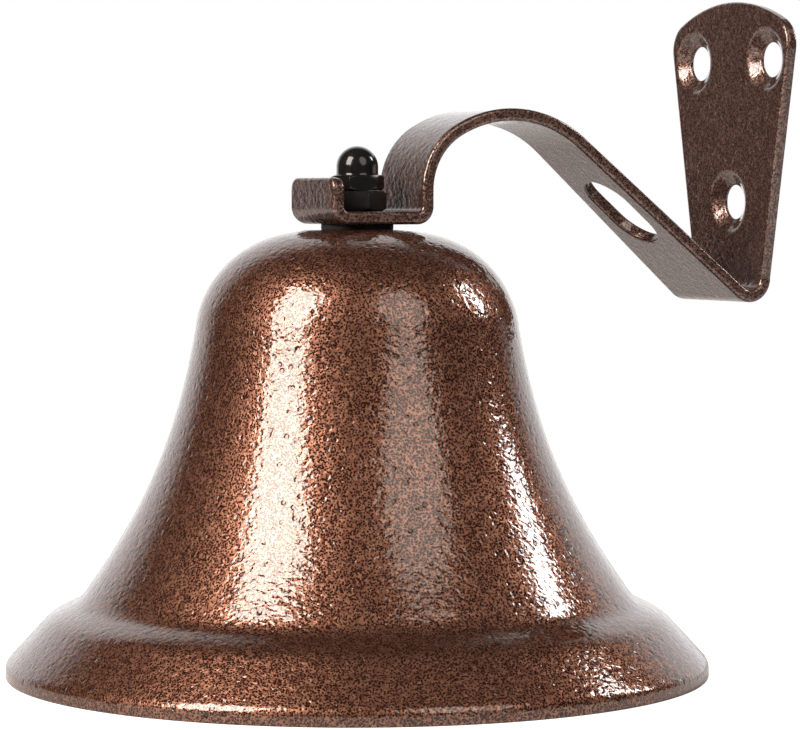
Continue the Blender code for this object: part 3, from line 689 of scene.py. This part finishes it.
def on_strap(along, across, up):
    """The place of a point of the flat strip once the strip is bent."""
    start, length, turn, point, heading = WALKED[0]
    for run in WALKED:
        if along >= run[0] - 1e-7:
            start, length, turn, point, heading = run
    gone = along - start
    way = Vector((math.cos(math.radians(heading)), math.sin(math.radians(heading))))
    left = Vector((-way.y, way.x))
    if turn:
        radius = length / math.radians(abs(turn))
        centre = point + left * math.copysign(radius, turn)
        swing = Matrix.Rotation(math.copysign(gone / radius, turn), 2)
        point = centre + swing @ (point - centre)
        left = swing @ left
    else:
        point = point + way * gone
    spot = point + left * up
    return Vector((spot.x, across, spot.y))


def plate_side():
    """The plate's edge from the middle of its top to the start of the bend."""
    top_centre = Vector((PLATE_TOP_R, 0))
    low = Vector((PLATE_LEN, BEND_W / 2))
    wide = Vector((PLATE_TOP_UP, PLATE_HALF_W))
    side = (wide - low).normalized()
    inwards = Vector((-side.y, side.x))
    offset = low + inwards * PLATE_CORNER_R - top_centre
    reach = PLATE_TOP_R - PLATE_CORNER_R
    half_b = offset.dot(side)
    slide = -half_b + math.sqrt(half_b ** 2 - offset.length_squared + reach ** 2)
    corner = low + inwards * PLATE_CORNER_R + side * slide
    spoke = (corner - top_centre).normalized()
    points = []
    top_turn = math.atan2(spoke.y, -spoke.x)
    side_turn = math.atan2(-inwards.y, inwards.x)
    for step in range(PLATE_TOP_STEPS):
        turn = top_turn * step / PLATE_TOP_STEPS
        points.append(top_centre + PLATE_TOP_R * Vector((-math.cos(turn), math.sin(turn))))
    for step in range(PLATE_CORNER_STEPS + 1):
        turn = top_turn + (side_turn - top_turn) * step / PLATE_CORNER_STEPS
        points.append(corner + PLATE_CORNER_R * Vector((-math.cos(turn), math.sin(turn))))
    return points


def strap_side():
    """The rest of the edge, from the bend to the middle of the lip's end."""
    half = STRAP_W / 2
    points = []
    for start, length, turn, _, _ in WALKED[1:-1]:
        fine = TIGHT_STEP_DEG if abs(turn) > 89 else WIDE_STEP_DEG
        steps = math.ceil(abs(turn) / fine) if turn else round(length / STRAIGHT_STEP)
        steps = max(1, steps)
        for step in range(steps):
            along = start + length * step / steps
            taper = min(max((along - SLOPE_START) / SLOPE_LEN, 0), 1)
            points.append(Vector((along, BEND_W / 2 + (half - BEND_W / 2) * taper)))
    lip_start = WALKED[-1][0]
    points.append(Vector((lip_start, half)))
    for step in range(LIP_STEPS + 1):
        turn = math.radians(90 * step / LIP_STEPS)
        points.append(Vector((STRAP_LEN - LIP_ROUND * (1 - math.sin(turn)),
                              half - LIP_ROUND * (1 - math.cos(turn)))))
    return points


def ring_of(points):
    """A closed loop with, at each point, the unit vector out of the metal."""
    loop = []
    for k, here in enumerate(points):
        before, after = points[k - 1], points[(k + 1) % len(points)]
        way = ((here - before).normalized() + (after - here).normalized()).normalized()
        loop.append((here, Vector((-way.y, way.x))))
    return loop


def round_hole(along, across, radius, steps=48):
    points = [Vector((along + radius * math.cos(2 * math.pi * k / steps),
                      across + radius * math.sin(2 * math.pi * k / steps)))
              for k in range(steps)]
    return ring_of(points)


def slot_hole():
    """The slot's outline: two half circles with straight sides."""
    radius, straight = SLOT_W / 2, (SLOT_LEN - SLOT_W) / 2
    points = []
    for end in (1, -1):
        for step in range(SLOT_END_STEPS + 1):
            turn = math.radians(-90 + 180 * step / SLOT_END_STEPS) + (0 if end == 1 else math.pi)
            points.append(Vector((SLOT_ALONG + end * straight + radius * math.cos(turn),
                                  radius * math.sin(turn))))
    return ring_of(points)


def quarter(ease, steps=4):
    """(set back, below the face) of a rounded edge, from the face to the side."""
    return [(ease * (1 - math.sin(math.radians(90 * k / steps))),
             ease * (1 - math.cos(math.radians(90 * k / steps))))
            for k in range(steps + 1)]


def both_edges(ease):
    """A section of the edge, rounded at the upper and at the lower face."""
    upper = [(back, STRAP_T / 2 - down) for back, down in quarter(ease)]
    return upper + [(back, -level) for back, level in reversed(upper)]


def dimple():
    """A countersink with a soft lip, open on the face that looks at the bell."""
    lower = [(4.55, 0.0), (4.15, 0.05), (3.75, 0.16), (3.35, 0.36), (2.9, 0.66), (2.3, 1.08),
             (1.6, 1.56), (0.95, 1.98), (0.45, 2.26), (0.14, 2.44), (0.0, 2.68)]
    upper = [(back, STRAP_T / 2 - down) for back, down in quarter(HOLE_EASE, 3)]
    return upper + [(back, down - STRAP_T / 2) for back, down in reversed(lower)]


def flat_loops():
    """The edges of the flat strip with their sections: the outline, then the holes."""
    one_side = plate_side() + strap_side()
    mirrored = [Vector((p.x, -p.y)) for p in reversed(one_side[1:])]
    loops = [(ring_of(one_side + mirrored), both_edges(EDGE_EASE)),
             (slot_hole(), both_edges(SLOT_EASE)),
             (round_hole(BOLT_ALONG, 0, HOLE_R), both_edges(HOLE_EASE))]
    for along, across in ((PLATE_TOP_UP + HOLE_RISE, 0), (PLATE_TOP_UP, HOLE_SPACING / 2),
                          (PLATE_TOP_UP, -HOLE_SPACING / 2)):
        loops.append((round_hole(along, across, SCREW_HOLE_R), dimple()))
    return loops


def edge_wall(bm, loop, section):
    """Build the wall of one edge; its first and last row border the two faces."""
    rows = []
    for back, level in section:
        flats = [here - out * back for here, out in loop]
        rows.append([(bm.verts.new(on_strap(flat.x, flat.y, level)), flat) for flat in flats])
    for row, following in zip(rows, rows[1:]):
        for k in range(len(row)):
            m = (k + 1) % len(row)
            bm.faces.new((row[k][0], row[m][0], following[m][0], following[k][0]))
    return rows[0], rows[-1]


def ribs(outline):
    """Pairs of outline points joined straight across, so that the bends stay even."""
    pairs = []
    for k in range(1, len(outline) // 2 + 1):
        mirrored, along = len(outline) - k, outline[k].x
        on_plate = along <= BEND_START - 1
        at_slot = abs(along - SLOT_ALONG) < SLOT_LEN / 2 + RIB_CLEAR
        at_bolt = abs(along - BOLT_ALONG) < BOLT_CLEAR
        at_lip_end = along > STRAP_LEN - LIP_ROUND - LIP_CLEAR
        if k != mirrored and not (on_plate or at_slot or at_bolt or at_lip_end):
            pairs.append((k, mirrored))
    return pairs


def inside_ring(point, ring):
    """Whether a flat point lies inside a closed ring."""
    inside = False
    for a, b in zip(ring, ring[1:] + ring[:1]):
        if (a.y > point.y) != (b.y > point.y):
            if point.x < (b.x - a.x) * (point.y - a.y) / (b.y - a.y) + a.x:
                inside = not inside
    return inside


def fill_face(bm, rings):
    """Fill one face of the strip, between its outline and its holes."""
    verts = [vert for ring in rings for vert, _ in ring]
    outline, *holes = [[flat for _, flat in ring] for ring in rings]
    flats = outline + [flat for hole in holes for flat in hole]
    edges, first = [], 0
    for ring in rings:
        edges += [(first + k, first + (k + 1) % len(ring)) for k in range(len(ring))]
        first += len(ring)
    edges += ribs(outline)
    points, _, faces, origin, _, _ = delaunay_2d_cdt(flats, edges, [], 0, 1e-6)
    for face in faces:
        middle = sum((points[k] for k in face), Vector((0, 0))) / len(face)
        in_hole = any(inside_ring(middle, hole) for hole in holes)
        if inside_ring(middle, outline) and not in_hole:
            bm.faces.new([verts[origin[k][0]] for k in face])


def weight_normals(mesh):
    """Let the large flat faces decide the shading at their rounded edges."""
    weights = {}
    for face in mesh.polygons:
        for k in face.vertices:
            weights.setdefault(k, Vector((0, 0, 0)))
            weights[k] += face.normal * face.area
    normals = [weights[k].normalized() for k in range(len(mesh.vertices))]
    mesh.normals_split_custom_set_from_vertices(normals)


def make_bracket():
    """Draw the strip flat with its holes, bend its edges along the runs, and fill it."""
    bm = bmesh.new()
    borders = [edge_wall(bm, loop, section) for loop, section in flat_loops()]
    for rings in zip(*borders):
        fill_face(bm, rings)
    mesh = mesh_of("bent_strap", bm, 60)
    weight_normals(mesh)
    placed(mesh, (0, 0, 0))
    shown("bent_strap", mesh, STRAP_COAT_PAINTED_LIGHT, "mounted_bell", "copper_vein_coat", "wall_bracket")


# ---- nuts, washers and bolt -----------------------------------------------
BOLT_R = 3.8
BORE_ROOM = 0.3           # a bore is this much wider all round than what goes through it
BORE_CHAMFER = 0.5
EDGE_SOFT = 0.12          # softens the edge between a nut's cone and its flats
FACE_SOFT = 0.985         # and the edge round its face
CLAMP_NUT_FLATS = 13.7    # across flats
NUT_FLATS = 12.7
CLAMP_NUT_TURN = 25.5
ACORN_TURN = 46.9
INNER_NUT_TURN = 10.0
ACORN_HEX_H = 4.1
ACORN_DOME_R = 5.5
DOME_STEPS = 18
ACORN_FLANGE = 0.22       # how far the dome flares where it meets the hexagon
ACORN_SUNK = 0.4          # how far the dome's foot runs down into the hexagon
EYE_RING_R = 8.55
THREAD_PITCH = 1.4


def hex_ring(across_flats, corner_ease, per_flat=8, corner_steps=4):
    """Points round a hexagon with eased corners."""
    apothem = across_flats / 2
    half = (apothem - corner_ease) * math.tan(math.radians(30))
    points = []
    for side in range(6):
        facing = math.radians(60 * side)
        normal = Vector((math.cos(facing), math.sin(facing)))
        along = Vector((-normal.y, normal.x))
        for step in range(per_flat + 1):
            points.append(normal * apothem + along * (half * (2 * step / per_flat - 1)))
        centre = normal * (apothem - corner_ease) + along * half
        for step in range(1, corner_steps):
            turn = facing + math.radians(60 * step / corner_steps)
            points.append(centre + corner_ease * Vector((math.cos(turn), math.sin(turn))))
    return points


def hex_body(name, across_flats, height, turn_deg, corner_ease=0.35, face_share=0.97):
    """A hexagon nut whose corners are taken off by 30-degree cones."""
    face_r = across_flats / 2 * face_share
    bore_r = BOLT_R + BORE_ROOM
    slope = math.tan(math.radians(30))
    outer = hex_ring(across_flats, corner_ease)

    def circle(radius, z):
        return [(*(p.normalized() * radius), z) for p in outer]

    def cone(share):
        """A row of the lower cone, share of the way from the face to the corner."""
        reach = [(p.length - face_r) * share for p in outer]
        return [(*(p.normalized() * (face_r + r)), r * slope) for p, r in zip(outer, reach)]

    def flipped(row):
        return [(x, y, height - z) for x, y, z in row]

    side_low = [(p.x, p.y, (p.length - face_r) * slope + EDGE_SOFT) for p in outer]
    cones = [cone(share) for share in (0.0, 0.33, 0.66, 0.97)]
    places = [circle(bore_r, height - BORE_CHAMFER), circle(bore_r + BORE_CHAMFER, height),
              circle(face_r * FACE_SOFT, height), *[flipped(row) for row in cones],
              flipped(side_low), [(p.x, p.y, height / 2) for p in outer], side_low,
              *reversed(cones), circle(bore_r + BORE_CHAMFER, 0.0), circle(bore_r, BORE_CHAMFER)]
    bm = bmesh.new()
    rows = [[bm.verts.new(place) for place in row] for row in places]
    for upper, lower in zip(rows, rows[1:] + rows[:1]):
        for k in range(len(outer)):
            m = (k + 1) % len(outer)
            bm.faces.new((upper[k], upper[m], lower[m], lower[k]))
    mesh = mesh_of(name, bm, 24)
    mesh.transform(Matrix.Rotation(math.radians(turn_deg - 30), 4, "Z"))
    return mesh


def make_nuts():
    clamp = hex_body("clamp_hex_nut", CLAMP_NUT_FLATS, clamp_high.z - clamp_low.z,
                     CLAMP_NUT_TURN, corner_ease=1.1, face_share=0.95)
    placed(clamp, (AXIS_X, 0, clamp_low.z))
    shown("clamp_hex_nut", clamp, SATIN, "mounted_bell", "satin_black", "clamp_nut")

    inner = hex_body("inner_hex_nut", NUT_FLATS, inner_nut_high.z - inner_nut_low.z,
                     INNER_NUT_TURN)
    placed(inner, (AXIS_X, 0, inner_nut_low.z))
    shown("inner_hex_nut", inner, ZINC, "mounted_bell", "zinc_plate", "inner_nut")


def make_acorn():
    acorn_h = acorn_high.z - acorn_low.z
    base = hex_body("acorn_hex", NUT_FLATS, ACORN_HEX_H, ACORN_TURN)
    centre, bore_r = acorn_h - ACORN_DOME_R, BOLT_R + BORE_ROOM
    dome = [(0.0, acorn_h)]
    for step in range(1, DOME_STEPS + 1):
        turn = math.radians(90 * step / DOME_STEPS)
        dome.append((ACORN_DOME_R * math.sin(turn), centre + ACORN_DOME_R * math.cos(turn)))
    dome += [(ACORN_DOME_R, ACORN_HEX_H + 0.55), (ACORN_DOME_R, ACORN_HEX_H + 0.25),
             (ACORN_DOME_R + ACORN_FLANGE, ACORN_HEX_H - 0.05),
             (ACORN_DOME_R + 0.2, ACORN_HEX_H - ACORN_SUNK),
             (bore_r + 0.05, ACORN_HEX_H - ACORN_SUNK), (bore_r, acorn_h - 4.0),
             (0.0, acorn_h - 3.6)]
    cap = spun("acorn_dome", dome, GLOSS, 72, sharp_deg=50)
    acorn = joined("acorn_cap_nut", [base, cap])
    placed(acorn, (AXIS_X, 0, acorn_low.z))
    shown("acorn_cap_nut", acorn, GLOSS, "mounted_bell", "gloss_black", "acorn_nut")


def washer(name, low, high, finish, slot, node, ease):
    """A flat ring between two heights, with its edges rounded."""
    outside, thick = (high.x - low.x) / 2, high.z - low.z
    corners = [(HOLE_R, thick / 2), (HOLE_R, thick), (outside, thick), (outside, 0),
               (HOLE_R, 0), (HOLE_R, thick / 2)]
    outline = eased(corners, [0, ease, ease, ease, ease, 0], 4)[:-1]
    mesh = spun(name, [tuple(p) for p in outline], finish, 72, sharp_deg=50)
    placed(mesh, (AXIS_X, 0, low.z))
    shown(name, mesh, finish, "mounted_bell", slot, node)


def make_bolt():
    eye_z = bolt_low.z + EYE_RING_R + BOLT_R
    ring = wire_loop("bolt_ring", EYE_RING_R, 0.0, BOLT_R, ZINC)
    placed(ring, (AXIS_X, 0, eye_z))
    neck_low = eye_z + EYE_RING_R
    neck_top = inner_nut_low.z - 0.2
    neck_h = neck_top - neck_low
    neck = [(0.0, 0.0), (BOLT_R, 0.0), (BOLT_R, neck_h), (0.0, neck_h)]
    shank = placed(spun("bolt_neck", neck, ZINC, 48), (AXIS_X, 0, neck_low))
    thread = screw_thread("bolt_thread", bolt_high.z - neck_top - 0.6, BOLT_R,
                          THREAD_PITCH, ZINC)
    placed(thread, (AXIS_X, 0, neck_top - 0.1))
    bolt = joined("threaded_eye_bolt", [ring, shank, thread])
    shown("threaded_eye_bolt", bolt, ZINC, "mounted_bell", "zinc_plate", "eye_bolt")


# ---- link and clapper -----------------------------------------------------
LINK_WIRE_R = 2.0
ROD_R = 2.5
ROD_EYE_WIRE_R = 2.2
ROD_EYE_R = 6.2
COLLAR_R = 5.0
COLLAR_H = 2.4
BALL_R = 18.0
BALL_FLAT_R = 6.0
BALL_STEPS = 60
CORD_NUT_R = 4.7
CORD_NUT_H = 4.2
CORD_EYE_R = 4.5
CORD_EYE_WIRE_R = 1.3
CORD_NUT_FLOOR = 1.0      # metal under the cord nut's bore
COLLAR_ROOM = 0.3         # between the ball and the collar
SKIN = 0.15               # the ball's skin is drawn this far in, to leave room for its waves
SEAM_H = 0.12             # mould line round the ball
SEAM_W = 0.03


def make_link():
    end_r = (link_high.y - link_low.y) / 2 - LINK_WIRE_R
    tall = link_high.z - link_low.z
    straight = tall - 2 * (end_r + LINK_WIRE_R)
    loop = wire_loop("oval_link", end_r, straight, LINK_WIRE_R, ZINC)
    placed(loop, (AXIS_X, 0, (link_low.z + link_high.z) / 2), Matrix.Rotation(math.pi / 2, 4, "Z"))
    shown("oval_link", loop, ZINC, "link", "zinc_plate", "hanger_link")


def make_rod():
    eye_z = rod_high.z - ROD_EYE_WIRE_R - ROD_EYE_R
    ring = placed(wire_loop("rod_eye", ROD_EYE_R, 0.0, ROD_EYE_WIRE_R, ZINC),
                  (AXIS_X, 0, eye_z))
    top = eye_z - ROD_EYE_R
    collar_low = ball_high.z + COLLAR_ROOM
    corners = [(0.0, top), (ROD_R, top), (ROD_R, collar_low + COLLAR_H),
               (COLLAR_R, collar_low + COLLAR_H), (COLLAR_R, collar_low), (ROD_R, collar_low),
               (ROD_R, rod_low.z), (0.0, rod_low.z)]
    outline = eased(corners, [0, 0, 0.8, 0.5, 0.3, 0, 0.4, 0], 4)
    shaft = placed(spun("rod_shaft", [tuple(p) for p in outline], ZINC, 48),
                   (AXIS_X, 0, 0))
    rod = joined("eye_rod", [ring, shaft])
    shown("eye_rod", rod, ZINC, "clapper", "zinc_plate", "clapper_rod")


def make_ball():
    bore = ROD_R + BORE_ROOM
    flat = (ball_high.z - ball_low.z) / 2
    start = math.asin(BALL_FLAT_R / BALL_R)
    outline = [(bore, flat - 0.3), (bore + 0.3, flat)]
    for step in range(BALL_STEPS + 1):
        turn = start + (math.pi - 2 * start) * step / BALL_STEPS
        seam = SEAM_H * math.exp(-((turn - math.pi / 2) / SEAM_W) ** 2)
        radius = BALL_R - SKIN + seam
        outline.append((radius * math.sin(turn), radius * math.cos(turn)))
    outline += [(bore + 0.3, -flat), (bore, 0.3 - flat)]
    ball = spun("iron_ball", outline, IRON, 96, wave_height=0.25, wave_size=7.0)
    placed(ball, (AXIS_X, 0, (ball_low.z + ball_high.z) / 2))
    shown("iron_ball", ball, IRON, "clapper", "black_iron", "clapper_ball")


def make_cord_nut():
    nut_low = cord_high.z - CORD_NUT_H
    bore = ROD_R + BORE_ROOM
    corners = [(0.0, CORD_NUT_FLOOR), (bore, CORD_NUT_FLOOR), (bore, CORD_NUT_H),
               (CORD_NUT_R, CORD_NUT_H), (CORD_NUT_R, 0.0), (0.0, 0.0)]
    outline = eased(corners, [0, 0, 0.3, 0.5, 0.9, 0], 5)
    cup = placed(spun("cord_cup", [tuple(p) for p in outline], ZINC, 60),
                 (AXIS_X, 0, nut_low))
    eye = placed(wire_loop("cord_ring", CORD_EYE_R, 0.0, CORD_EYE_WIRE_R, ZINC),
                 (AXIS_X, 0, cord_low.z + CORD_EYE_R + CORD_EYE_WIRE_R))
    nut = joined("cord_ring_nut", [cup, eye])
    shown("cord_ring_nut", nut, ZINC, "clapper", "zinc_plate", "cord_eye_nut")


make_bell()
make_bracket()
make_nuts()
make_acorn()
washer("crown_rubber", crown_washer_low, crown_washer_high, RUBBER, "black_rubber",
       "crown_washer", 0.15)
washer("cushion_ring", cushion_low, cushion_high, RUBBER, "black_rubber", "cushion_washer", 0.4)
washer("inner_steel_washer", inner_washer_low, inner_washer_high, ZINC, "zinc_plate",
       "inner_washer", 0.25)
make_bolt()
make_link()
make_rod()
make_ball()
make_cord_nut()


# ---- floor, lights and camera ---------------------------------------------
FLOOR_HALF = 0.8             # metres
FLOOR_BELOW = 0.0001
FLOOR_GLOW = 0.9             # to the camera only, so that the paper stays white


def make_floor():
    bm = bmesh.new()
    bmesh.ops.create_grid(bm, x_segments=1, y_segments=1, size=FLOOR_HALF)
    bmesh.ops.translate(bm, vec=(AXIS_X * MM, 0, cad_box[0].z - FLOOR_BELOW), verts=bm.verts)
    mesh = bpy.data.meshes.new("floor")
    bm.to_mesh(mesh)
    bm.free()
    floor = bpy.data.objects.new("floor", mesh)
    bpy.context.scene.collection.objects.link(floor)
    paper = Paint("white_paper")
    cloud = paper.noise(60.0, detail=2.0)
    seen = paper.add("ShaderNodeLightPath").outputs["Is Camera Ray"]
    paper.set(Base_Color=paper.mix(cloud, (0.78, 0.78, 0.78, 1), (0.81, 0.81, 0.81, 1)),
              Roughness=0.8, Specular_IOR_Level=0.2, Emission_Color=(1, 1, 1, 1),
              Emission_Strength=paper.maths("MULTIPLY", seen, FLOOR_GLOW))
    mesh.materials.append(paper.made)


PAPER_STARTS = 0.46          # cosine from straight behind the bell
PAPER_FULL = 0.78
PAPER_LIGHT = 1.45
ROOM_LIGHT = 0.04
WARM = (1.0, 0.91, 0.83)
CAMERA_AWAY = 876.42         # from the bell's axis
CAMERA_UP = 126.46           # above the rim
CAMERA_ROUND_DEG = 27.818    # from square on to the strap, away from the wall
CAMERA_TURN_DEG = 0.733
CAMERA_DIP_DEG = 2.954
LENS_MM = 150.2
SENSOR_MM = 36.0
AIM_DOWN = 85                # the lamps look at this point of the bell's axis
# name, degrees round and up, metres away, width, height, watts, tint, shape
SOFT_BOXES = (
    ("left_soft_box", -50, 34, 1.5, 0.70, 1.12, 42, WARM, "RECTANGLE"),
    ("middle_soft_box", 36, 34, 1.6, 0.95, 1.3, 9.2, WARM, "ELLIPSE"),
    ("right_strip", 106, 29, 1.4, 0.21, 0.50, 6.8, (1, 1, 1), "RECTANGLE"),
)


def soft_box(name, round_deg, up_deg, away, wide, tall, power, tint, shape):
    """A lamp that faces the bell; round_deg is counted from the camera, to the right."""
    lamp = bpy.data.lights.new(name, "AREA")
    lamp.shape = shape
    lamp.size, lamp.size_y = wide, tall
    lamp.energy = power
    lamp.color = tint
    made = bpy.data.objects.new(name, lamp)
    bpy.context.scene.collection.objects.link(made)
    turn = math.radians(CAMERA_ROUND_DEG - round_deg)
    up = math.radians(up_deg)
    aim = Vector((AXIS_X, 0, -AIM_DOWN)) * MM
    way = Vector((-math.sin(turn) * math.cos(up), -math.cos(turn) * math.cos(up), math.sin(up)))
    made.location = aim + way * away
    made.rotation_euler = way.to_track_quat("Z", "Y").to_euler()


def light_studio():
    """White paper behind the bell, a dark room in front of it, and three soft boxes."""
    world = bpy.data.worlds.new("studio")
    bpy.context.scene.world = world
    world.use_nodes = True
    nodes, links = world.node_tree.nodes, world.node_tree.links
    sky = nodes["Background"]
    facing = nodes.new("ShaderNodeTexCoord").outputs["Generated"]
    away = nodes.new("ShaderNodeVectorMath")
    away.operation = "DOT_PRODUCT"
    turn = math.radians(CAMERA_ROUND_DEG)
    away.inputs[1].default_value = (math.sin(turn), math.cos(turn), 0.0)
    links.new(facing, away.inputs[0])
    paper = nodes.new("ShaderNodeMapRange")
    paper.interpolation_type = "SMOOTHSTEP"
    for socket, value in (("From Min", PAPER_STARTS), ("From Max", PAPER_FULL),
                          ("To Min", ROOM_LIGHT), ("To Max", PAPER_LIGHT)):
        paper.inputs[socket].default_value = value
    links.new(away.outputs["Value"], paper.inputs["Value"])
    seen = nodes.new("ShaderNodeLightPath").outputs["Is Camera Ray"]
    strength = nodes.new("ShaderNodeMix")
    strength.inputs[3].default_value = 1.0
    links.new(seen, strength.inputs[0])
    links.new(paper.outputs[0], strength.inputs[2])
    links.new(strength.outputs[0], sky.inputs["Strength"])
    sky.inputs["Color"].default_value = (1, 1, 1, 1)
    for lamp in SOFT_BOXES:
        soft_box(*lamp)


def place_camera():
    lens = bpy.data.cameras.new("camera")
    lens.sensor_fit = "HORIZONTAL"
    lens.sensor_width = SENSOR_MM
    lens.lens = LENS_MM
    lens.clip_start = 0.05
    lens.clip_end = 20
    camera = bpy.data.objects.new("camera", lens)
    bpy.context.scene.collection.objects.link(camera)
    round_by = math.radians(CAMERA_ROUND_DEG)
    camera.location = Vector((AXIS_X - CAMERA_AWAY * math.sin(round_by),
                              -CAMERA_AWAY * math.cos(round_by),
                              bell_low.z + CAMERA_UP)) * MM
    camera.rotation_euler = (math.radians(90 - CAMERA_DIP_DEG), 0,
                             -math.radians(CAMERA_ROUND_DEG + CAMERA_TURN_DEG))
    bpy.context.scene.camera = camera
    bpy.context.scene.view_settings.view_transform = "Standard"


make_floor()
light_studio()
place_camera()
